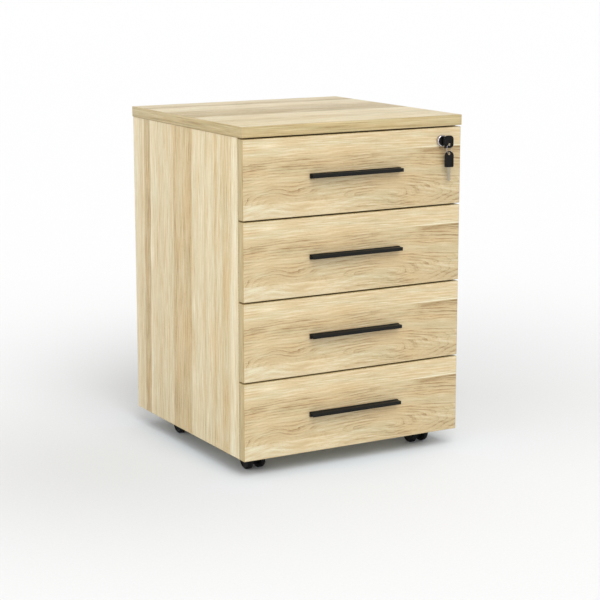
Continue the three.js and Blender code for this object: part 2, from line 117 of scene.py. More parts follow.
def add_surroundings():
    world = bpy.data.worlds.new("studio")
    world.use_nodes = True
    tree = world.node_tree
    direction = tree.nodes.new("ShaderNodeTexCoord").outputs["Generated"]
    split = tree.nodes.new("ShaderNodeSeparateXYZ")
    tree.links.new(direction, split.inputs[0])
    value = split.outputs["Z"]
    steps = (("MAXIMUM", 0.0), ("MULTIPLY_ADD", -1.0), ("POWER", 2.0), ("MULTIPLY_ADD", HORIZON))
    for operation, other in steps:
        node = tree.nodes.new("ShaderNodeMath")
        node.operation = operation
        tree.links.new(value, node.inputs[0])
        node.inputs[1].default_value = other
        if operation == "MULTIPLY_ADD":
            node.inputs[2].default_value = 1.0 if other < 0 else SKY
        value = node.outputs[0]
    background = tree.nodes["Background"]
    background.inputs["Color"].default_value = (1, 1, 1, 1)
    tree.links.new(value, background.inputs["Strength"])
    bpy.context.scene.world = world


def add_studio():
    bpy.context.scene.view_settings.view_transform = "Standard"
    add_surroundings()
    add_sun("key_light", *KEY_LIGHT)
    add_sun("fill_light", *FILL_LIGHT)

    mesh = bpy.data.meshes.new("floor")
    signs = ((-1, -1), (1, -1), (1, 1), (-1, 1))
    mesh.from_pydata([(FLOOR_HALF * x, FLOOR_HALF * y, 0) for x, y in signs], [], [(0, 1, 2, 3)])
    floor = placed("floor", mesh)
    paint = Graph("floor")
    # Painted shadow: the pools darken the floor's colour round the cabinet.
    painted_shadows = [paint.times(paint.patch(centre, radius), -depth) for centre, radius, depth in SHADOW_POOLS]
    # Painted light under the cabinet, and a painted cool tint near and under it against the warm bounce off
    # the boards.
    under = paint.patch((0, 0), UNDER_SIZE)
    near = paint.patch((0, 0), NEAR_SIZE)
    mottle = paint.swing(paint.spread(paint.place, (5, 5, 5)), 0.02, 3, 0.7)
    tone = paint.add(1.0, *painted_shadows, paint.times(under, UNDER_PAINTED_LIGHT), mottle)
    tone = paint.times(tone, FLOOR_TONE)
    shift = paint.add(paint.times(under, UNDER_PAINTED_COOL), paint.times(near, NEAR_PAINTED_COOL))
    cool = paint.add(1.0, shift)
    warm = paint.add(1.0, paint.times(shift, -1.0))
    paint.set(color=paint.vector(paint.times(tone, warm), tone, paint.times(tone, cool)), roughness=0.9)
    mesh.materials.append(paint.material)


# --- Node materials ---
def srgb(*values):
    """A linear colour from the usual 0 to 255 values."""
    linear = [(v / 255 / 12.92) if v < 10 else ((v / 255 + 0.055) / 1.055) ** 2.4 for v in values]
    return (*linear, 1.0)


class Graph:
    """One node material on a piece's own coordinates, in millimetres."""

    def __init__(self, name):
        self.material = bpy.data.materials.new(name)
        self.material.use_nodes = True
        self.tree = self.material.node_tree
        self.shader = self.tree.nodes["Principled BSDF"]
        coordinates = self.node("TexCoord")
        scale = self.node("VectorMath")
        scale.operation = "SCALE"
        scale.inputs["Scale"].default_value = 1 / MM
        self.tree.links.new(coordinates.outputs["Object"], scale.inputs[0])
        split = self.node("SeparateXYZ")
        self.tree.links.new(scale.outputs[0], split.inputs[0])
        self.place = list(split.outputs)
        self.x, self.y, self.z = self.place

    def node(self, kind):
        return self.tree.nodes.new("ShaderNode" + kind)

    def plug(self, socket, value):
        if isinstance(value, bpy.types.NodeSocket):
            self.tree.links.new(value, socket)
        else:
            socket.default_value = value

    def math(self, operation, a, b=0.0, c=0.0):
        node = self.node("Math")
        node.operation = operation
        for socket, value in zip(node.inputs, (a, b, c)):
            self.plug(socket, value)
        return node.outputs[0]

    def add(self, *values):
        total = values[0]
        for value in values[1:]:
            total = self.math("ADD", total, value)
        return total

    def times(self, a, b):
        return self.math("MULTIPLY", a, b)

    def over(self, a, b):
        return self.math("DIVIDE", a, b)

    def inverse(self, value):
        return self.math("SUBTRACT", 1.0, value)

    def vector(self, x, y, z=0.0):
        node = self.node("CombineXYZ")
        for socket, value in zip(node.inputs, (x, y, z)):
            self.plug(socket, value)
        return node.outputs[0]

    def spread(self, places, sizes, *layer):
        """The places divided by their sizes, for noise. A layer fills in for a missing third place."""
        return self.vector(*(self.over(place, size) for place, size in zip(places, sizes)), *layer)

    def noise(self, vector, detail=2.0, roughness=0.5):
        node = self.node("TexNoise")
        node.inputs["Scale"].default_value = 1.0
        node.inputs["Detail"].default_value = detail
        node.inputs["Roughness"].default_value = roughness
        self.plug(node.inputs["Vector"], vector)
        return node.outputs[0]

    def swing(self, vector, reach, detail=2.0, roughness=0.5):
        """Noise about zero that mostly stays within the given reach."""
        return self.times(self.math("SUBTRACT", self.noise(vector, detail, roughness), 0.5), 4 * reach)

    def patch(self, centre, size):
        """1 at a place on the floor, in metres, fading smoothly to 0 around it."""
        x, y = [
            self.over(self.math("SUBTRACT", place, middle / MM), size / MM)
            for place, middle in zip((self.x, self.y), centre)
        ]
        return self.math("EXPONENT", self.times(self.add(self.times(x, x), self.times(y, y)), -1.0))

    def ease(self, value, start, end):
        """0 before start, 1 after end, smooth between."""
        node = self.node("MapRange")
        node.interpolation_type = "SMOOTHSTEP"
        self.plug(node.inputs["Value"], value)
        node.inputs["From Min"].default_value = start
        node.inputs["From Max"].default_value = end
        return node.outputs[0]

    def ramp(self, factor, stops):
        node = self.node("ValToRGB")
        elements = node.color_ramp.elements
        while len(elements) < len(stops):
            elements.new(0.5)
        for element, (place, color) in zip(elements, stops):
            element.position = place
            element.color = color
        self.plug(node.inputs[0], factor)
        return node.outputs[0]

    def fade(self, factor, low, high):
        """A grey value that goes from low to high over the middle of the factor."""
        return self.ramp(factor, [(0.3, (low, low, low, 1)), (0.7, (high, high, high, 1))])

    def mix(self, factor, a, b, blend="MIX"):
        node = self.node("Mix")
        node.data_type = "RGBA"
        node.blend_type = blend
        self.plug(node.inputs["Factor"], factor)
        self.plug(node.inputs[6], a)
        self.plug(node.inputs[7], b)
        return node.outputs[2]

    def bump(self, height, depth):
        """A bump whose height of 1 stands for this many millimetres."""
        node = self.node("Bump")
        node.inputs["Strength"].default_value = 1.0
        node.inputs["Distance"].default_value = depth * MM
        self.plug(node.inputs["Height"], height)
        return node.outputs[0]

    def set(self, color, roughness, metallic=0.0, normal=None, shine=0.5):
        self.plug(self.shader.inputs["Base Color"], color)
        self.plug(self.shader.inputs["Roughness"], roughness)
        self.shader.inputs["Metallic"].default_value = metallic
        self.shader.inputs["Specular IOR Level"].default_value = shine
        if normal is not None:
            self.plug(self.shader.inputs["Normal"], normal)
        return self.material


def shades(shade_gain, *tones):
    """Colour stops of a wood: its darkest line, its usual tones and its brightest streak, all scaled by a
    gain that paints in shade for the face's light.
    """
    colors = [srgb(*tone) for tone in tones]
    stops = [(*(channel * shade_gain for channel in color[:3]), 1.0) for color in colors]
    return list(zip((0.0, 0.35, 0.62, 1.0), stops))


# Painted shade: front, side and top each have their own copy of the oak, with tones and gain set against the
# light that face gets from the suns and the surroundings, so that the faces come out alike; the gain darkens
# the front most.
OAK_FRONT = shades(0.8, (154, 124, 78), (201, 178, 136), (215, 195, 155), (236, 225, 194))
OAK_SIDE = shades(0.9, (158, 130, 84), (202, 178, 133), (214, 198, 161), (233, 224, 197))
OAK_TOP = shades(0.98, (150, 128, 86), (188, 170, 131), (203, 187, 152), (219, 208, 178))
OAK_EDGE = shades(0.9, (126, 105, 60), (178, 158, 112), (193, 175, 132), (213, 198, 158))


# Streaks of the grain: (size along it, across it and into the board), swing and roughness.
STREAKS = [((190, 8, 30), 0.1, 0.5), ((75, 2.8, 15), 0.38, 0.6), ((34, 1.3, 8), 0.24, 0.6)]
PALE_LINES = (70, 2.4)
PORES = (7, 0.55, 3)
HUE_DRIFT = (130, 14, 60)
HUES = [
    (0.34, (1.0, 0.945, 0.87, 1)),
    (0.5, (0.985, 0.975, 0.95, 1)),
    (0.66, (0.955, 0.99, 0.985, 1)),
]
GLOSS_DRIFT = (90, 25, 25)
OAK_ROUGHNESS = (0.46, 0.56)
PORE_DEPTH = 0.03


def wood_grain(graph, grain, contrast):
    """Streaks, pale lines and pores along the first of the grain's directions: (tone swing, relief)."""
    streaks = [
        graph.swing(graph.spread(grain, sizes), reach * contrast, 3, roughness)
        for sizes, reach, roughness in STREAKS
    ]
    pale = graph.noise(graph.spread(grain, PALE_LINES, graph.add(grain[2], 40)), 2)
    dark_pores = graph.ease(graph.noise(graph.spread(grain, PORES), 2), 0.57, 0.7)
    lines = graph.times(graph.ease(pale, 0.58, 0.72), 0.3 * contrast)
    swing = graph.add(*streaks, lines, graph.times(dark_pores, -0.3 * contrast))
    return swing, graph.times(dark_pores, -1.0)


def oak(graph, palette, grain, tone, contrast):
    """Melamine with printed oak: tone is added to the grain about the middle of the palette.

    grain holds the directions along the grain, across it and into the board.
    """
    swing, relief = wood_grain(graph, grain, contrast)
    color = graph.ramp(graph.add(0.5, swing, tone), palette)
    hue = graph.ramp(graph.noise(graph.spread(grain, HUE_DRIFT), 2), HUES)
    color = graph.mix(1.0, color, hue, "MULTIPLY")
    rough = graph.fade(graph.noise(graph.spread(grain, GLOSS_DRIFT), 3), *OAK_ROUGHNESS)
    return graph.set(color, rough, normal=graph.bump(relief, PORE_DEPTH))


# Drawer front, in millimetres from its lower left corner: growth rings round two
# hearts that merge into long lines above them, over a paler strip and under a calmer one.
LEFT_HEART = {"u": 62, "v": 27, "stretch": 0.44}
RIGHT_HEART = {"u": 300, "v": 32, "stretch_left": 0.1, "stretch_right": 0.21}
RING_SPACING = 5.2
HAIR_SPACING = RING_SPACING * 0.31
HEART_BLEND = 8.0
# Waves of the rings: (size along and across the grain), reach and detail.
RING_WAVES = [((170, 40), 4, 2), ((42, 9), 1.2, 2), ((11, 2.5), 0.28, 1)]
LOWER_SEAM = {"v": 27, "fades": (150, 330)}
UPPER_SEAM = {"v": 109.5, "begins": (300, 440)}
BROWN_BAND = ((66, 92), (100, 112))
FRONT_TONES = {
    "ring": -0.4, "hair": -0.25, "lower": 0.2, "upper": 0.12, "ridge": 0.5, "under": -0.3, "brown": -0.07,
    "base": 0.06,
}


def ring_distance(graph, u, v, heart):
    """Distance from a heart whose rings are drawn out along the grain."""
    along = graph.math("SUBTRACT", u, heart["u"])
    if "stretch" in heart:
        along = graph.times(along, heart["stretch"])
    else:
        right = graph.times(graph.math("MAXIMUM", along, 0.0), heart["stretch_right"])
        left = graph.times(graph.math("MINIMUM", along, 0.0), heart["stretch_left"])
        along = graph.add(right, left)
    across = graph.math("SUBTRACT", v, heart["v"])
    return graph.math("SQRT", graph.add(graph.times(along, along), graph.times(across, across)))


def oak_front():
    graph = Graph("oak_front")
    u, v = graph.x, graph.z
    tones = FRONT_TONES
    hearts = [ring_distance(graph, u, v, heart) for heart in (LEFT_HEART, RIGHT_HEART)]
    smooth_ring = graph.math("SMOOTH_MIN", *hearts, HEART_BLEND)
    waves = [graph.swing(graph.spread((u, v), sizes), reach, detail) for sizes, reach, detail in RING_WAVES]
    ring = graph.add(smooth_ring, *waves)
    line = graph.times(growth_lines(graph, ring, RING_SPACING), tones["ring"])
    hair = graph.times(growth_lines(graph, ring, HAIR_SPACING), tones["hair"])
    strength = graph.ease(graph.noise(graph.spread((u, v), (70, 20), 3.0), 3), 0.36, 0.62)
    rings = graph.times(graph.add(line, hair), graph.add(0.3, strength))

    seam = LOWER_SEAM["v"]
    below = graph.inverse(graph.ease(v, seam - 0.5, seam + 0.5))
    lower = graph.times(graph.inverse(graph.ease(u, *LOWER_SEAM["fades"])), below)
    seam = UPPER_SEAM["v"]
    upper = graph.ease(v, seam - 0.5, seam + 0.5)
    soft_upper = graph.ease(v, seam - 12, seam + 12)
    hidden = graph.math("MAXIMUM", graph.times(soft_upper, 0.5), graph.times(lower, 0.9))
    ridge = graph.times(upper, graph.inverse(graph.ease(v, seam + 1, seam + 4)))
    under = graph.times(graph.inverse(upper), graph.ease(v, seam - 16, seam - 0.6))
    edge = graph.add(graph.times(ridge, tones["ridge"]), graph.times(under, tones["under"]))
    start, end = BROWN_BAND
    brown = graph.times(graph.ease(v, *start), graph.inverse(graph.ease(v, *end)))
    tone = graph.add(
        graph.times(rings, graph.inverse(hidden)), graph.times(lower, tones["lower"]),
        graph.times(soft_upper, tones["upper"]), graph.times(graph.ease(u, *UPPER_SEAM["begins"]), edge),
        graph.times(brown, tones["brown"]), tones["base"],
    )
    bend = graph.swing(graph.spread((u, v), (200, 60), 1.0), 3)
    curved = graph.times(graph.add(smooth_ring, graph.times(v, -1.0)), 0.3)
    flow = graph.add(v, bend, graph.times(u, 0.014), curved)
    return oak(graph, OAK_FRONT, (u, flow, graph.y), tone, 0.75)


def growth_lines(graph, ring, spacing):
    """1 on the dark side of each ring, fading gently inwards and sharply outwards."""
    phase = graph.math("FRACT", graph.over(ring, spacing))
    rise = graph.math("POWER", phase, 3.2)
    return graph.times(rise, graph.inverse(graph.ease(phase, 0.88, 1.0)))


def banded(graph, distance, width, stops, depth=1.2):
    """Tones of the printed planks across a board: (distance in millimetres, tone from -1 to 1)."""
    grey = [(place / width, (0.5 + tone / 2,) * 3 + (1,)) for place, tone in stops]
    ramp = graph.ramp(graph.over(distance, width), grey)
    return graph.times(graph.math("SUBTRACT", ramp, 0.5), depth)


SIDE_PLANKS = [
    (0, 0.1), (14, 0.5), (24, 0.45), (31, 0.05), (38, -0.1), (58, -0.15), (68, 0.1), (84, 0.15), (90, -0.3),
    (96, 0.1), (118, 0.3), (132, -0.05), (140, 0.25), (184, 0.15), (190, -0.4), (212, -0.3), (236, -0.15),
    (262, -0.45), (268, 0.0), (275, 0.1), (330, 0.05), (360, 0.2), (364, 0.6), (370, -0.5), (392, -0.5),
    (398, 0.25), (408, -0.05), (424, 0.25),
]
SIDE_WIDTH = 440
SIDE_SLANT = 0.02
SLANT_HEIGHT = 294
SIDE_SPACING = 6.5


def oak_side(name="oak_side", depth="x"):
    """Upright grain, with planks counted along the board's width from its front or left edge."""
    graph = Graph(name)
    across, into = (graph.y, graph.x) if depth == "x" else (graph.x, graph.y)
    along = (graph.z, across)
    wander = graph.add(
        graph.swing(graph.spread(along, (260, 90)), 3),
        graph.swing(graph.spread(along, (60, 14)), 1.0),
    )
    slant = graph.times(graph.math("SUBTRACT", graph.z, SLANT_HEIGHT), SIDE_SLANT)
    distance = graph.add(across, slant, wander)
    waved = graph.add(distance, graph.swing(graph.spread(along, (120, 30), 5.0), 5))
    lines = growth_lines(graph, waved, SIDE_SPACING)
    patch = graph.ease(graph.noise(graph.spread(along, (140, 26), 2.0), 2), 0.42, 0.62)
    planks = banded(graph, distance, SIDE_WIDTH, SIDE_PLANKS)
    tone = graph.add(planks, graph.times(graph.times(lines, patch), -0.4), 0.08)
    return oak(graph, OAK_SIDE, (graph.z, distance, into), tone, 0.8)


TOP_PLANKS = [
    (0, -0.2), (12, 0.3), (60, 0.2), (100, -0.1), (130, 0.2), (186, 0.35), (190, -0.45), (230, -0.5),
    (300, -0.3), (330, 0.2), (370, 0.3), (385, 0.1), (392, -0.6), (405, -0.55), (416, 0.0), (460, 0.1),
]
TOP_WIDTH = 460


def oak_top():
    graph = Graph("oak_top")
    distance = graph.add(graph.y, graph.swing(graph.spread((graph.x, graph.y), (260, 90)), 5))
    tone = graph.add(banded(graph, distance, TOP_WIDTH, TOP_PLANKS), 0.06)
    return oak(graph, OAK_TOP, (graph.x, distance, graph.z), tone, 1.2)


def oak_edge(along):
    """Edge band, with stripes along the edge."""
    graph = Graph(f"oak_edge_{along}")
    place = {"x": graph.x, "y": graph.y, "z": graph.z}
    u = place.pop(along)
    v = graph.add(*place.values())
    stripes = graph.swing(graph.spread((u, v), (260, 3.2)), 0.34, 2)
    return oak(graph, OAK_EDGE, (u, v, 0.0), stripes, 0.6)


# --- Mesh helpers: everything is drawn in millimetres ---
def as_mesh(name, bm):
    mesh = bpy.data.meshes.new(name)
    bm.to_mesh(mesh)
    bm.free()
    return mesh


def finish_piece(name, bm, origin, materials, body, node, smooth=40):
    """Turns drawn geometry into a piece with its own origin that rides on a body."""
    bmesh.ops.translate(bm, verts=bm.verts, vec=-Vector(origin))
    bmesh.ops.scale(bm, verts=bm.verts, vec=(MM, MM, MM))
    bmesh.ops.recalc_face_normals(bm, faces=bm.faces)
    for edge in bm.edges:
        edge.smooth = edge.calc_face_angle(0) < math.radians(smooth)
    for face in bm.faces:
        face.smooth = True
    mesh = as_mesh(name, bm)
    piece = placed(name, mesh)
    piece.location = Vector(origin) * MM
    for material in materials:
        mesh.materials.append(material)
    bpy.context.view_layer.update()
    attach(piece, body)
    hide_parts(node)


def corners(node):
    """Lowest and highest corner of a CAD node, in millimetres."""
    low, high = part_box(node)
    return low / MM, high / MM


def box_mesh(low, high):
    low, high = Vector(low), Vector(high)
    bm = bmesh.new()
    bmesh.ops.create_cube(bm, size=1)
    bmesh.ops.scale(bm, verts=bm.verts, vec=high - low)
    bmesh.ops.translate(bm, verts=bm.verts, vec=(low + high) / 2)
    return bm


def rounded(bm, offset, segments=2, **more):
    """The shape with all its edges rounded."""
    bmesh.ops.bevel(
        bm, geom=bm.edges, offset=offset, segments=segments, profile=0.5, affect="EDGES", **more
    )
    return bm


EDGE_RADIUS = 0.9


def board(node, body, face, edges, thin, tools=()):
    """A laminated board with rounded edge bands, less the tools' shapes.

    thin is the axis across its thickness; edges are the bands facing the third and the next axis after it.
    """
    low, high = corners(node)
    bm = box_mesh(low, high)
    index = "XYZ".index(thin)
    for f in bm.faces:
        if abs(f.normal[index]) > 0.5:
            f.material_index = 0
        else:
            f.material_index = 1 + (abs(f.normal[(index + 1) % 3]) > 0.5)
    rounded(bm, EDGE_RADIUS, 3, material=1)
    if tools:
        bm = carved(bm, *tools)
    finish_piece(f"board_{node}", bm, low, [face, *edges], body, node, smooth=50)


def outline_prism(outline, length, right, up, bevel=0.0, segments=2):
    """An outline along right and up, extruded to the given length both ways from its plane."""
    bm = bmesh.new()
    along = right.cross(up)
    rings = []
    for offset in (-length / 2, length / 2):
        rings.append([bm.verts.new(right * x + up * y + along * offset) for x, y in outline])
    count = len(outline)
    bm.faces.new(rings[0])
    bm.faces.new(reversed(rings[1]))
    for i in range(count):
        j = (i + 1) % count
        bm.faces.new((rings[0][i], rings[1][i], rings[1][j], rings[0][j]))
    bmesh.ops.recalc_face_normals(bm, faces=bm.faces)
    if bevel:
        sharp = [e for e in bm.edges if e.calc_face_angle(0) > math.radians(25)]
        bmesh.ops.bevel(
            bm, geom=sharp, offset=bevel, segments=segments, profile=0.5, affect="EDGES", clamp_overlap=True
        )
    return bm


def lathe(profile, axis, segments=64):
    """A profile of (radius, distance along the axis) turned about that axis through the origin."""
    bm = bmesh.new()
    side = Z if axis.z == 0 else X
    other = axis.cross(side)
    rings = []
    for radius, along in profile:
        if radius < 1e-6:
            rings.append([bm.verts.new(axis * along)])
            continue
        rings.append([
            bm.verts.new(axis * along + (side * math.cos(t) + other * math.sin(t)) * radius)
            for t in (math.tau * i / segments for i in range(segments))
        ])
    open_ended = profile[0] != profile[-1]
    for a, b in zip(rings, rings[1:]):
        for i in range(segments):
            j = (i + 1) % segments
            loop = [a[i % len(a)], a[j % len(a)], b[j % len(b)], b[i % len(b)]]
            unique = list(dict.fromkeys(loop))
            if len(unique) > 2:
                bm.faces.new(unique)
    if open_ended:
        for ring in (rings[0], rings[-1]):
            if len(ring) > 2:
                bm.faces.new(ring)
    else:
        bmesh.ops.remove_doubles(bm, verts=bm.verts, dist=1e-4)
    bmesh.ops.recalc_face_normals(bm, faces=bm.faces)
    return bm


def cylinder(radius, start, end, axis, segments):
    return lathe([(0, start), (radius, start), (radius, end), (0, end)], axis, segments)


def arc(centre, radius, start, end, steps):
    """Points of an arc, in degrees, both ends included."""
    return [
        (centre[0] + radius * math.cos(t), centre[1] + radius * math.sin(t))
        for t in (math.radians(start + (end - start) * i / steps) for i in range(steps + 1))
    ]


def rounded_rectangle(x0, x1, y0, y1, radius, left_radius=None, steps=8):
    left = left_radius or radius
    return (
        arc((x1 - radius, y0 + radius), radius, -90, 0, steps)
        + arc((x1 - radius, y1 - radius), radius, 0, 90, steps)
        + arc((x0 + left, y1 - left), left, 90, 180, steps)
        + arc((x0 + left, y0 + left), left, 180, 270, steps)
    )


def moved(bm, offset):
    bmesh.ops.translate(bm, verts=bm.verts, vec=Vector(offset))
    return bm


def mirrored(bm, side):
    """Mirrored in X for the left side."""
    if side < 0:
        bmesh.ops.scale(bm, verts=bm.verts, vec=(-1, 1, 1))
        bmesh.ops.reverse_faces(bm, faces=bm.faces)
    return bm


def merged(*parts):
    """Several closed shapes in one mesh; (shape, material index) pairs."""
    whole = bmesh.new()
    for part, index in parts:
        for face in part.faces:
            face.material_index = index
        mesh = as_mesh("part", part)
        whole.from_mesh(mesh)
        bpy.data.meshes.remove(mesh)
    return whole


def carved(bm, *tools):
    """The shape with other shapes cut out of it."""
    target, *cutters = [placed("part", as_mesh("part", shape)) for shape in (bm, *tools)]
    for cutter in cutters:
        step = target.modifiers.new("cut", "BOOLEAN")
        step.operation = "DIFFERENCE"
        step.solver = "EXACT"
        step.object = cutter
    bpy.context.view_layer.update()
    graph = bpy.context.evaluated_depsgraph_get()
    result = bmesh.new()
    result.from_object(target, graph)
    for item in (target, *cutters):
        mesh = item.data
        bpy.data.objects.remove(item)
        bpy.data.meshes.remove(mesh)
    bmesh.ops.remove_doubles(result, verts=result.verts, dist=1e-4)
    bmesh.ops.dissolve_degenerate(result, edges=result.edges, dist=1e-4)
    return result


# --- Other finishes ---
def speckled(name, dark, light, roughness, grain, depth, metallic=0.0, wear=None, shine=0.5):
    """A plain finish with fine mottling, a slow change of tone and a textured surface."""
    graph = Graph(name)
    fine = graph.noise(graph.spread(graph.place, (grain, grain, grain)), 3)
    slow = graph.noise(graph.spread(graph.place, (40, 40, 40)), 2)
    tone = graph.ease(graph.add(graph.times(fine, 0.55), graph.times(slow, 0.45)), 0.3, 0.7)
    color = graph.mix(tone, srgb(*dark), srgb(*light))
    if wear is not None:
        scuffs = graph.noise(graph.spread(graph.place, (7, 1.2, 1.2)), 4, 0.7)
        color = graph.mix(graph.times(graph.ease(scuffs, 0.6, 0.75), 0.5), color, srgb(*wear))
    rough = graph.fade(slow, *roughness)
    return graph.set(color, rough, metallic, graph.bump(fine, depth), shine)


def brushed(name, dark, light, roughness, along):
    """Metal with fine lines along one axis."""
    graph = Graph(name)
    lines = graph.noise(graph.spread(graph.place, [40 if axis == along else 0.6 for axis in "xyz"]), 3)
    slow = graph.noise(graph.spread(graph.place, (60, 60, 60)), 3)
    tone = graph.ease(graph.add(graph.times(lines, 0.5), graph.times(slow, 0.5)), 0.32, 0.68)
    rough = graph.fade(slow, *roughness)
    color = graph.mix(tone, srgb(*dark), srgb(*light))
    return graph.set(color, rough, 1.0, graph.bump(lines, 0.01))


# --- Drawers ---
DRAWERS = range(1, 5)
SIDES = (("left", -1), ("right", 1))
HANDLE_BAR = 4.7
HANDLE_LIP = 2.5
HANDLE_WEB = 2
LIP_BELOW = 3
LIP_ABOVE = 3.5


def add_handle(number):
    """One extruded bar: a flat back, a thin web and a lip turned down in front."""
    low, high = corners(f"drawer_{number}_handle")
    middle = (low.z + high.z) / 2
    reach = high.y - low.y
    half = (high.z - low.z) / 2
    web = LIP_ABOVE - HANDLE_WEB
    lip = reach - HANDLE_LIP
    outline = [
        (0, -half), (HANDLE_BAR, -half), (HANDLE_BAR, web), (lip, web), (lip, -LIP_BELOW),
        (reach, -LIP_BELOW), (reach, LIP_ABOVE), (HANDLE_BAR, LIP_ABOVE), (HANDLE_BAR, half), (0, half),
    ]
    bm = outline_prism(outline, high.x - low.x, -Y, Z, 0.45)
    moved(bm, (0, high.y, middle))
    finish_piece(
        f"handle_{number}", bm, (low.x, high.y, middle), [BLACK_METAL], f"drawer_{number}",
        f"drawer_{number}_handle",
    )


STEEL = 1.2
BOTTOM_FLANGE = 12
SLIDE_FLANGE = 8.8
SLIDE_FLANGE_RISE = 23.5
SLIDE_LIP = 5.5
TOP_RETURN = 5
REAR_ROLLER = (8.2, 7, 10, 11.7)  # radius, width, from the rear end, above the bottom
FRONT_ROLLER = (9.7, 5.5, 12, 11.5)  # radius, width, from the front end, above the bottom
STUB_RADIUS = 3
DRAWER_SCREW = (3, 1.4)  # radius, height
DRAWER_SCREWS = (0.09, 0.5, 0.91)  # shares of the length
RUNNER_SCREW = (3.2, 1.3)
RUNNER_SCREWS = (0.14, 0.5, 0.93)
RUNNER_HEIGHT = 20
RUNNER_LIP = 4.8
RUNNER_TRACK = 9.1


def roller(radius, width):
    """A nylon roller about X, grooved in the middle of each face, from x = 0."""
    dish = radius - 2.2
    rim = radius - 1.8
    return lathe([
        (0, 0.4), (1.6, 0.4), (1.6, 0), (3.4, 0), (3.8, 0.6), (dish, 0.6), (rim, 0), (radius - 0.5, 0),
        (radius, 0.5), (radius, width - 0.5), (radius - 0.5, width), (rim, width), (dish, width - 0.6),
        (3.8, width - 0.6), (3.4, width), (1.6, width), (1.2, width + 0.3), (0, width + 0.4),
    ], X, 48)


def turned(bm, degrees, axis):
    turn = Matrix.Rotation(math.radians(degrees), 3, axis)
    bmesh.ops.rotate(bm, verts=bm.verts, matrix=turn)
    return bm


def screw_head(radius, height):
    """A pan head about X with a cross recess, standing out from x = 0."""
    head = lathe([
        (0, 0), (radius, 0), (radius, height * 0.35), (radius * 0.85, height * 0.75),
        (radius * 0.5, height * 0.97), (0, height),
    ], X, 32)
    slots = []
    for turn in (0, 90):
        slot = bmesh.new()
        bmesh.ops.create_cube(slot, size=1)
        bmesh.ops.scale(slot, verts=slot.verts, vec=(height, radius * 1.1, radius * 0.26))
        slots.append(moved(turned(slot, turn, "X"), (height, 0, 0)))
    return carved(head, *slots)


def add_drawer_side(number, word, side):
    """Folded sheet steel with a slide flange outside and a nylon roller near its rear end."""
    node = f"drawer_{number}_side_{word}"
    low, high = corners(node)
    inner = min(abs(low.x), abs(high.x)) + BOTTOM_FLANGE
    outer = inner + STEEL
    flange = outer + SLIDE_FLANGE
    height = high.z - low.z
    rise = SLIDE_FLANGE_RISE
    outline = [
        (inner - BOTTOM_FLANGE, 0), (outer, 0), (outer, rise), (flange, rise), (flange, rise + SLIDE_LIP),
        (flange - STEEL, rise + SLIDE_LIP), (flange - STEEL, rise + STEEL), (outer, rise + STEEL),
        (outer, height - STEEL), (outer + TOP_RETURN, height - STEEL), (outer + TOP_RETURN, height),
        (inner, height), (inner, STEEL), (inner - BOTTOM_FLANGE, STEEL),
    ]
    sheet = outline_prism(outline, high.y - low.y, X, Z, 0.4)
    moved(sheet, (0, (low.y + high.y) / 2, low.z))
    radius, width, from_end, rise = REAR_ROLLER
    wheel = moved(roller(radius, width - 0.4), (outer + 2, high.y - from_end, low.z + rise))
    stub = cylinder(STUB_RADIUS, 0, 2.2, X, 32)
    moved(stub, (outer, high.y - from_end, low.z + rise))
    screws = [
        (moved(screw_head(*DRAWER_SCREW), (outer, low.y + place * (high.y - low.y), low.z + 12)), 2)
        for place in DRAWER_SCREWS
    ]
    bm = mirrored(merged((sheet, 0), (wheel, 1), (stub, 2), *screws), side)
    finish_piece(
        f"drawer_side_{number}_{word}", bm, (side * inner, low.y, low.z), RUNNING_GEAR,
        f"drawer_{number}", node, 35,
    )


def add_runner(number, word, side):
    """A C of sheet steel screwed to the case side, with a nylon roller at its front."""
    node = f"runner_{word}_{number}"
    low, high = corners(node)
    outer = max(abs(low.x), abs(high.x))
    web = outer - STEEL
    height = RUNNER_HEIGHT
    length = high.y - low.y
    outline = [
        (outer, 0), (outer, height), (web - RUNNER_LIP, height), (web - RUNNER_LIP, height - STEEL),
        (web, height - STEEL), (web, STEEL), (web - RUNNER_TRACK, STEEL), (web - RUNNER_TRACK, 0),
    ]
    radius, width, from_end, rise = FRONT_ROLLER
    channel = outline_prism(outline, length, X, Z, 0.35)
    moved(channel, (0, (low.y + high.y) / 2, low.z))
    top = low.z + height
    middle = low.z + height / 2
    recess = box_mesh((0, low.y - 1, top - 2 * STEEL), (web, low.y + 2 * from_end, top + 1))
    channel = carved(channel, recess)
    inner = web - 1.3 - width
    wheel = moved(mirrored(roller(radius, width), -1), (inner + width, low.y + from_end, low.z + rise))
    stub = cylinder(STUB_RADIUS, 0, 1.5, X, 32)
    moved(stub, (web - 1.4, low.y + from_end, low.z + rise))
    screws = [
        (moved(mirrored(screw_head(*RUNNER_SCREW), -1), (web, low.y + place * length, middle)), 2)
        for place in RUNNER_SCREWS
    ]
    bm = mirrored(merged((channel, 0), (wheel, 1), (stub, 2), *screws), side)
    finish_piece(
        f"runner_{number}_{word}", bm, (side * web, low.y, low.z), RUNNING_GEAR,
        "cabinet", node, 35,
    )


def add_grey_board(number, part):
    """A bare grey board of the drawer box, its edges barely broken."""
    node = f"drawer_{number}_{part}"
    low, high = corners(node)
    bm = rounded(box_mesh(low, high), 0.5)
    body = f"drawer_{number}"
    finish_piece(f"grey_board_{number}_{part}", bm, low, [GREY_BOARD], body, node)


# --- Castors ---
WHEEL_RADIUS = 20
WHEEL_WIDTH = 10.7
WHEEL_ROUND = 4.5
TREAD_END = 6.2
HOOD_HALF = 7.5
HOOD_RADIUS = 13
HOOD_TOP = 41.6
AXLE_BACK = -14
AXLE_HALF = 16.2
PIN_RADIUS = 4
PIN_BORE = 4.3
PLATE_THICK = 2.2
PLATE_SCREW = (2.6, 1.1)
PLATE_SCREW_INSET = 4.4


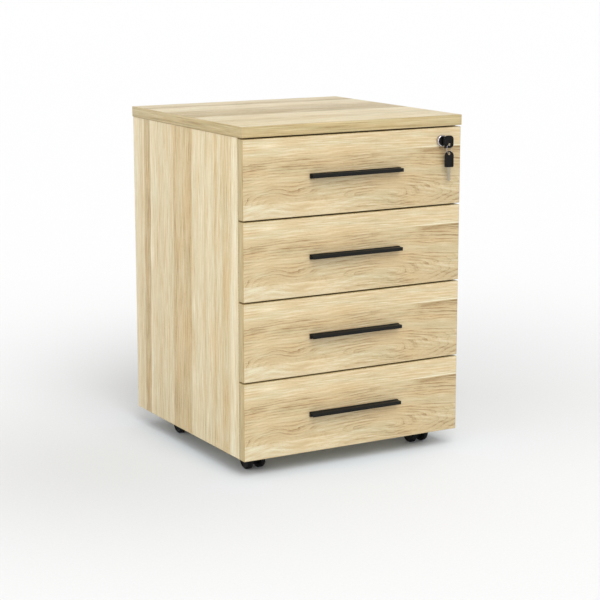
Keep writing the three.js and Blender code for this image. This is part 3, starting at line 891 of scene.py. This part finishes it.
def add_wheel(place, word, side):
    """A solid nylon wheel: flat tread, round shoulder, dished face with a hub cap."""
    node = f"castor_{place}_wheel_{word}"
    low, high = corners(node)
    inner = low.x if side > 0 else high.x
    centre = (inner, (low.y + high.y) / 2, (low.z + high.z) / 2)
    radius, width = WHEEL_RADIUS, WHEEL_WIDTH
    shoulder = arc((radius - WHEEL_ROUND, TREAD_END), WHEEL_ROUND, 0, 90, 8)[:-1]
    tyre = lathe([
        (9, 0.6), (17.5, 0.6), (18.2, 0), (radius - 1, 0), (radius - 0.3, 0.3), (radius, 1), *shoulder,
        (15, width), (14.2, width - 0.5), (13.7, width - 1.5), (9, width - 1.8), (9, 0.6),
    ], X, 72)
    hub = lathe([
        (3.6, 0.2), (9.2, 0.2), (9.2, width - 1.9), (8.7, width - 1.3), (6, width - 1), (5.4, width - 0.4),
        (3, width - 0.1), (0, width), (0, width - 2), (3.6, width - 2), (3.6, 0.2),
    ], X, 48)
    bm = mirrored(merged((tyre, 0), (hub, 1)), side)
    moved(bm, centre)
    finish_piece(
        f"wheel_{place}_{word}", bm, centre, [BLACK_NYLON, BLACK_PLASTIC], f"{place}_{word}_wheel",
        node,
    )


def add_hood(place):
    """The swivelling body: a web between the wheels under a round turntable, with the axle."""
    node = f"castor_{place}_hood"
    _, high = corners(node)
    plate_low, plate_high = corners(f"castor_{place}_plate")
    swivel = ((plate_low.x + plate_high.x) / 2, (plate_low.y + plate_high.y) / 2)
    outline = arc((AXLE_BACK, WHEEL_RADIUS), HOOD_RADIUS, 27, 327.6, 24)
    outline += [(11, 30), (11, HOOD_TOP), (-6, HOOD_TOP)]
    web = outline_prism(outline, 2 * HOOD_HALF, Y, Z, 1.2, 3)
    turntable = lathe([
        (0, 40.6), (12.8, 40.6), (14, 41.8), (14, high.z - 0.9), (13.1, high.z), (0, high.z),
    ], Z, 56)
    axle = lathe([
        (0, -AXLE_HALF), (2.4, -AXLE_HALF), (3, 0.6 - AXLE_HALF), (3, AXLE_HALF - 0.6), (2.4, AXLE_HALF),
        (0, AXLE_HALF),
    ], X, 32)
    moved(axle, (0, AXLE_BACK, WHEEL_RADIUS))
    web, turntable = [carved(part, cylinder(PIN_BORE, 36, 60, Z, 32)) for part in (web, turntable)]
    bm = merged((web, 0), (turntable, 0), (axle, 1))
    moved(bm, (*swivel, 0))
    finish_piece(
        f"hood_{place}", bm, (*swivel, 0), [BLACK_PLASTIC, BRIGHT_STEEL], f"{place}_swivel",
        node,
    )


def add_plate(place):
    """Square steel plate under the base, with four screws and the kingpin."""
    node = f"castor_{place}_plate"
    low, high = corners(node)
    centre = (low + high) / 2
    half = (high.x - low.x) / 2
    under = high.z - PLATE_THICK
    plate = outline_prism(rounded_rectangle(-half, half, -half, half, 4), PLATE_THICK, X, Y, 0.4)
    moved(plate, (0, 0, high.z - PLATE_THICK / 2))
    pin = lathe([
        (0, low.z), (3.2, low.z), (PIN_RADIUS, low.z + 0.8), (PIN_RADIUS, under + 0.2), (0, under + 0.2),
    ], Z, 32)
    reach = half - PLATE_SCREW_INSET
    screws = [
        (moved(turned(screw_head(*PLATE_SCREW), 90, "Y"), (x * reach, y * reach, under)), 1)
        for x in (-1, 1) for y in (-1, 1)
    ]
    bm = merged((plate, 0), (pin, 0), *screws)
    moved(bm, (centre.x, centre.y, 0))
    finish_piece(
        f"plate_{place}", bm, (centre.x, centre.y, high.z), [PLATE_STEEL, BRIGHT_STEEL], "cabinet",
        node,
    )


# --- Lock, key, ring and spare key ---
PLUG_RADIUS = 5
BEZEL_RADIUS = 10.8
BEZEL_REACH = 6.4
BARREL_RADIUS = 8
THREAD_START = 17.9
THREAD_STEP = 0.4
THREAD_DEPTH = 0.5
CAM_HALF = 4.5
CAM_THICK = 2
EAR_MIDDLE = 7.05
EAR_THICK = 2.5
EAR_RADIUS = 2.4
BLADE_END = 18
COLLAR_RADIUS = 9.4
COLLAR_RIM = 2
COLLAR_BASE = 0.9
COLLAR_REACH = 8.5
HEAD_REACH = 11
HEAD_SPAN = (3, 20)
HEAD_HEIGHTS = (-13.6, 9.8)
HEAD_CORNERS = (7.5, 2.5)
HEAD_THICK = 3.4
FOOT_START = 0.4
FOOT_TOP = -8.8
FOOT_CORNER = 2
KNUCKLE_RADIUS = 2.6
KNUCKLE_BORE = 1.3
KNUCKLE_HALF = 5.5
PANEL_INSET = 2.2
HEAD_HOLE = (11.3, -7.1)
HEAD_HOLE_RADIUS = 2.5
HEAD_POCKET = 6.2
HEAD_WEB = 0.9
RING_RADIUS = 8.6
RING_WIRE = 0.3
RING_TURNS = 2
RING_GAP = 0.24
RING_SKEW = 24


def lock_centre():
    """Where the lock's axis meets the face of the front, in millimetres."""
    low, high = corners("lock_housing")
    face, _ = corners("drawer_1_front")
    return Vector(((low.x + high.x) / 2, face.y, (low.z + high.z) / 2))


def add_lock():
    centre = lock_centre()
    _, high = corners("lock_housing")
    depth = high.y - centre.y
    bore, rim, barrel, face = PLUG_RADIUS + 0.3, BEZEL_RADIUS, BARREL_RADIUS, -BEZEL_REACH
    thread = [(barrel - (THREAD_DEPTH if i % 2 else 0), THREAD_START + THREAD_STEP * i) for i in range(11)]
    housing = lathe([
        (bore, depth), (bore, face), (rim - 1.7, face), (rim - 0.9, face + 0.25), (rim - 0.25, face + 0.9),
        (rim, face + 1.7), (rim, -0.3), (barrel, -0.3), *thread, (barrel, depth - 0.6),
        (barrel - 0.6, depth), (bore, depth),
    ], Y, 64)
    moved(housing, centre)
    finish_piece("lock_case", housing, centre, [CHROME], "drawer_1", "lock_housing", 30)

    _, plug_high = corners("lock_plug")
    rear = plug_high.y - centre.y
    cam_front = rear - CAM_THICK
    plug = lathe([
        (0, face + 0.4), (PLUG_RADIUS - 0.4, face + 0.4), (PLUG_RADIUS, face + 0.8),
        (PLUG_RADIUS, cam_front - 0.1), (0, cam_front - 0.1),
    ], Y, 48)
    plug = carved(plug, box_mesh((-1.1, face - 1, -3.5), (1.1, depth - 4, 3.5)))
    cam_outline = arc((0, 0), PLUG_RADIUS - 0.2, 205, 335, 12)
    cam_outline += rounded_top(CAM_HALF, plug_high.z - centre.z)
    cam = outline_prism(cam_outline, CAM_THICK, X, Z, 0.3)
    moved(cam, (0, rear - CAM_THICK / 2, 0))
    bolt = cylinder(3.4, rear - 2.4, rear - 0.2, Y, 6)
    bm = merged((plug, 0), (cam, 0), (bolt, 0))
    finish_piece("plug", moved(bm, centre), centre, [BRIGHT_STEEL], "key", "lock_plug", 35)


def rounded_top(half, top):
    """The upper end of a cam: straight flanks closed by a half round."""
    return [(half, 0)] + arc((0, top - half), half, 0, 180, 14) + [(-half, 0)]


def add_key():
    """Black collar round the lock's face, two ears with a steel pin, and the blade in the keyway."""
    centre = lock_centre()
    back = -BEZEL_REACH - 0.3
    floor = back - COLLAR_BASE
    rim = COLLAR_RADIUS - COLLAR_RIM
    outer, front = COLLAR_RADIUS, -COLLAR_REACH
    collar = lathe([
        (0, back), (0, floor), (rim - 0.2, floor), (rim, floor - 0.2), (rim, front + 0.4),
        (rim + 0.4, front), (outer - 0.9, front), (outer - 0.25, front + 0.3), (outer, front + 0.9),
        (outer, back - 0.4), (outer - 0.4, back), (0, back),
    ], Y, 64)
    parts = [(collar, 0)]
    ear = arc((0, -HEAD_REACH), EAR_RADIUS, -180, 0, 16) + [(2, floor + 0.4), (-2, floor + 0.4)]
    for middle in (-EAR_MIDDLE, EAR_MIDDLE):
        plate = outline_prism(ear, EAR_THICK, X, Y, 0.3)
        parts.append((moved(plate, (0, 0, middle)), 0))
        rivet = lathe([(0, -1.45), (1.25, -1.45), (1.5, -1.25), (1.5, 1.25), (1.25, 1.45), (0, 1.45)], Z, 24)
        parts.append((moved(rivet, (0, -HEAD_REACH, middle)), 1))
    pin = cylinder(1, -6, 6, Z, 24)
    parts.append((moved(pin, (0, -HEAD_REACH, 0)), 1))
    blade = box_mesh((-0.8, floor + 0.4, -3.2), (0.8, BLADE_END, 3.2))
    bmesh.ops.bevel(blade, geom=blade.edges, offset=0.2, segments=1, affect="EDGES")
    parts.append((blade, 1))
    bm = moved(merged(*parts), centre)
    finish_piece("key_collar", bm, centre, [BLACK_PLASTIC, BRIGHT_STEEL], "key", "key", 35)


def add_key_head():
    """Folding head: a rounded plate with a raised rim, a knuckle on the pin and a hole for the ring."""
    centre = lock_centre() + Vector((0, -HEAD_REACH, 0))
    thick = HEAD_THICK
    start, end = HEAD_SPAN
    low, high = HEAD_HEIGHTS
    corner, inner_corner = HEAD_CORNERS
    outline = rounded_rectangle(start, end, low, high, corner, inner_corner, 12)
    plate = outline_prism(outline, thick, X, Z, 0.6, 3)
    inset = PANEL_INSET
    panel = rounded_rectangle(start + inset, end - inset, low + inset, high - inset, corner - inset, 0.8, 10)
    x, z = HEAD_HOLE
    tools = []
    for side in (-1, 1):
        recess = outline_prism(panel, 1, X, Z)
        tools.append(moved(recess, (0, side * (thick / 2 + 0.1), 0)))
        pocket = lathe([
            (0, HEAD_WEB / 2), (HEAD_POCKET - 0.6, HEAD_WEB / 2), (HEAD_POCKET, HEAD_WEB / 2 + 0.6),
            (HEAD_POCKET, 4), (0, 4),
        ], Y, 40)
        if side < 0:
            bmesh.ops.scale(pocket, verts=pocket.verts, vec=(1, -1, 1))
            bmesh.ops.reverse_faces(pocket, faces=pocket.faces)
        tools.append(moved(pocket, (x, 0, z)))
    hole = cylinder(HEAD_HOLE_RADIUS, -4, 4, Y, 40)
    tools.append(moved(hole, (x, 0, z)))
    plate = carved(plate, *tools)
    half = KNUCKLE_HALF
    neck_outline = [(0, -half), (start + 3, -half), (start + 3, half), (0, half)]
    neck = outline_prism(neck_outline, thick - 0.4, X, Z, 0.5)
    radius, bore = KNUCKLE_RADIUS, KNUCKLE_BORE
    knuckle = lathe([
        (bore, -half), (radius - 0.4, -half), (radius, 0.4 - half), (radius, half - 0.4),
        (radius - 0.4, half), (bore, half), (bore, -half),
    ], Z, 32)
    neck = carved(neck, cylinder(bore + 0.05, -6, 6, Z, 24))
    foot_outline = rounded_rectangle(FOOT_START, start + corner, low, FOOT_TOP, FOOT_CORNER)
    foot = outline_prism(foot_outline, thick - 0.02, X, Z, 0.6, 3)
    foot = carved(foot, moved(cylinder(HEAD_POCKET + 0.3, -4, 4, Y, 40), (x, 0, z)))
    bm = moved(merged((plate, 0), (foot, 0), (neck, 0), (knuckle, 0)), centre)
    body = "folding_head"
    finish_piece(body, bm, centre, [BLACK_PLASTIC], body, "key_head", 35)


def ring_centre():
    low, high = corners("key_ring")
    return (low + high) / 2


def add_ring():
    """A split ring: two close turns of round wire."""
    centre = ring_centre()
    wire = RING_WIRE
    steps = 150
    sides = 10
    bm = bmesh.new()
    rings = []
    for i in range(steps + 1):
        part = i / steps
        angle = math.tau * RING_TURNS * part
        shift = (part - 0.5) * 2 * RING_GAP
        out = Vector((math.cos(angle), 0, math.sin(angle)))
        middle = out * RING_RADIUS + Vector((0, shift, 0))
        rings.append([
            bm.verts.new(middle + out * wire * math.cos(t) + Vector((0, wire * math.sin(t), 0)))
            for t in (math.tau * j / sides for j in range(sides))
        ])
    for a, b in zip(rings, rings[1:]):
        for j in range(sides):
            k = (j + 1) % sides
            bm.faces.new((a[j], a[k], b[k], b[j]))
    bm.faces.new(rings[0])
    bm.faces.new(reversed(rings[-1]))
    moved(turned(bm, RING_SKEW, "Z"), centre)
    finish_piece("split_ring", bm, centre, [CHROME], "ring", "key_ring", 60)


SPARE_TURN = -12
SPARE_HEAD = (9, 5, 25.3, 2)  # half width, above the ring, below it, thickness
SPARE_HOLE_RADIUS = 2.7
SPARE_BLADE = (3.25, 26, 1.6)  # half width, length, thickness
SPARE_TEETH = [(6, 1.1), (9.4, 0.5), (12.6, 1.3), (15.8, 0.7), (19, 1.4)]


def add_spare():
    """The spare key: a black head, domed at the top, on a notched steel blade."""
    ring = ring_centre()
    hole = Vector((ring.x, ring.y, ring.z - RING_RADIUS))
    half, above, below, thick = SPARE_HEAD
    outline = [(-half + 1.5, -below), (half - 1.5, -below), (half, -below + 1.5)]
    outline += arc((0, above - half), half, 0, 180, 24) + [(-half, -below + 1.5)]
    head = outline_prism(outline, thick, X, Z, 0.4, 3)
    ring_hole = cylinder(SPARE_HOLE_RADIUS, -3, 3, Y, 36)
    inner = half - 2
    foot = 2.2 - below
    panel = arc((0, above - half - 2.5), inner, 20, 160, 16) + [(-inner, foot), (inner, foot)]
    panels = [
        moved(outline_prism(panel, 0.6, X, Z), (0, side * thick / 2, -4.6)) for side in (-1, 1)
    ]
    for shape in panels:
        bmesh.ops.scale(shape, verts=shape.verts, vec=(1, 1, 0.82))
    head = carved(head, ring_hole, *panels)
    blade_half, length, blade_thick = SPARE_BLADE
    tip = -below - length
    edge = []
    for along, depth in SPARE_TEETH:
        place = -below - along
        edge += [(blade_half, place + 1.4), (blade_half - depth, place), (blade_half, place - 1.4)]
    outline = [(-blade_half, -below + 1), (-blade_half, tip + blade_half), (-1, tip), (1, tip)]
    outline += [(blade_half, tip + blade_half)] + list(reversed(edge)) + [(blade_half, -below + 1)]
    blade = outline_prism(outline, blade_thick, X, Z, 0.12, 1)
    grooves = [
        moved(box_mesh((-0.5, -0.35, tip + 3), (0.5, 0.35, -below + 2)), (shift, side * blade_thick / 2, 0))
        for side, shift in ((-1, -0.9), (1, 0.6))
    ]
    blade = carved(blade, *grooves)
    bm = moved(turned(merged((head, 0), (blade, 1)), SPARE_TURN, "Z"), hole)
    materials = [BLACK_PLASTIC, KEY_STEEL]
    finish_piece("spare", bm, hole, materials, "spare", "spare_key", 35)


# --- Locking bar ---
BAR_THICK = 5
GROOVE_DEPTH = 7
GROOVE_PLAY = 0.3
PEG_RADIUS = 2.5
PEG_START = 206.5
PEG_OVER_LIP = 9.1
TAB_OVER_LOCK = 0.9
TAB_THICK = 3


def lock_hole():
    """What is bored out of the top drawer's front for the lock."""
    return moved(cylinder(BARREL_RADIUS + 0.3, -5, 30, Y, 64), lock_centre())


def bar_groove():
    """What is routed out of the right side, all the way up, for the bar."""
    panel, _ = corners("side_panel_right")
    low, high = corners("lock_bar")
    return box_mesh(
        (panel.x - 5, low.y - GROOVE_PLAY, panel.z - 5),
        (panel.x + GROOVE_DEPTH, high.y + GROOVE_PLAY, high.z + 100),
    )


def add_lock_bar():
    """A flat steel bar with a tab under the lock's cam and a peg over each drawer's slide flange."""
    low, high = corners("lock_bar")
    inner = high.x - BAR_THICK
    bar = rounded(box_mesh((inner, low.y, low.z), high), 0.6)
    top = lock_centre().z + TAB_OVER_LOCK
    tab = rounded(box_mesh((low.x, low.y, top - TAB_THICK), (inner + 1, high.y, top)), 0.4)
    parts = [(bar, 0), (tab, 0)]
    for number in DRAWERS:
        side, _ = corners(f"drawer_{number}_side_right")
        peg = lathe([
            (0, PEG_START), (PEG_RADIUS - 0.6, PEG_START), (PEG_RADIUS, PEG_START + 0.6),
            (PEG_RADIUS, inner + 1), (0, inner + 1),
        ], X, 28)
        rise = side.z + SLIDE_FLANGE_RISE + SLIDE_LIP + PEG_OVER_LIP
        parts.append((moved(peg, (0, (low.y + high.y) / 2, rise)), 1))
    finish_piece(
        "lock_bar_piece", merged(*parts), low, [GREY_STEEL, BRIGHT_STEEL], "locking_bar",
        "lock_bar", 35,
    )


add_camera()
add_studio()

FRONT = oak_front()
SIDE = oak_side()
BACK = oak_side("oak_back", "y")
TOP = oak_top()
EDGE_X = oak_edge("x")
EDGE_Y = oak_edge("y")
EDGE_Z = oak_edge("z")
BLACK_METAL = speckled("black_metal", (14, 14, 13), (23, 23, 21), (0.36, 0.48), 0.8, 0.02, shine=0.14)
BLACK_PLASTIC = speckled("black_plastic", (11, 10, 10), (20, 19, 18), (0.3, 0.42), 0.5, 0.015, shine=0.13)
BLACK_NYLON = speckled(
    "black_nylon", (11, 11, 12), (20, 20, 21), (0.42, 0.6), 0.9, 0.03, wear=(46, 45, 44), shine=0.15
)
WHITE_NYLON = speckled("white_nylon", (212, 211, 205), (230, 229, 224), (0.42, 0.55), 1.2, 0.02)
GREY_BOARD = speckled("grey_board", (188, 187, 183), (206, 205, 201), (0.5, 0.62), 1.6, 0.03)
GREY_STEEL = speckled("grey_steel", (178, 180, 182), (194, 196, 197), (0.34, 0.46), 1.0, 0.02, 0.25)
PLATE_STEEL = speckled("zinc_plate", (150, 151, 150), (190, 190, 186), (0.3, 0.42), 2.4, 0.015, 0.9)
BRIGHT_STEEL = brushed("bright_steel", (168, 167, 162), (206, 205, 200), (0.24, 0.34), "x")
KEY_STEEL = brushed("key_steel", (146, 139, 120), (178, 170, 150), (0.3, 0.4), "z")
RUNNING_GEAR = [GREY_STEEL, WHITE_NYLON, BRIGHT_STEEL]
CHROME = brushed("chrome", (168, 164, 170), (208, 204, 210), (0.1, 0.17), "y")

board("top_panel", "cabinet", TOP, [EDGE_X, EDGE_Y], "Z")
board("side_panel_left", "cabinet", SIDE, [EDGE_Y, EDGE_Z], "X")
board("side_panel_right", "cabinet", SIDE, [EDGE_Y, EDGE_Z], "X", [bar_groove()])
board("back_panel", "cabinet", BACK, [EDGE_Z, EDGE_X], "Y")
board("base_panel", "cabinet", TOP, [EDGE_X, EDGE_Y], "Z")
for number in DRAWERS:
    tools = [lock_hole()] if number == 1 else []
    board(f"drawer_{number}_front", f"drawer_{number}", FRONT, [EDGE_Z, EDGE_X], "Y", tools)
    add_handle(number)
    add_grey_board(number, "bottom")
    add_grey_board(number, "back")
    for word, side in SIDES:
        add_drawer_side(number, word, side)
        add_runner(number, word, side)
for row in ("front", "rear"):
    for column in ("left", "right"):
        place = f"{row}_{column}"
        add_plate(place)
        add_hood(place)
        for word, side in SIDES:
            add_wheel(place, word, side)
add_lock()
add_key()
add_key_head()
add_ring()
add_spare()
add_lock_bar()
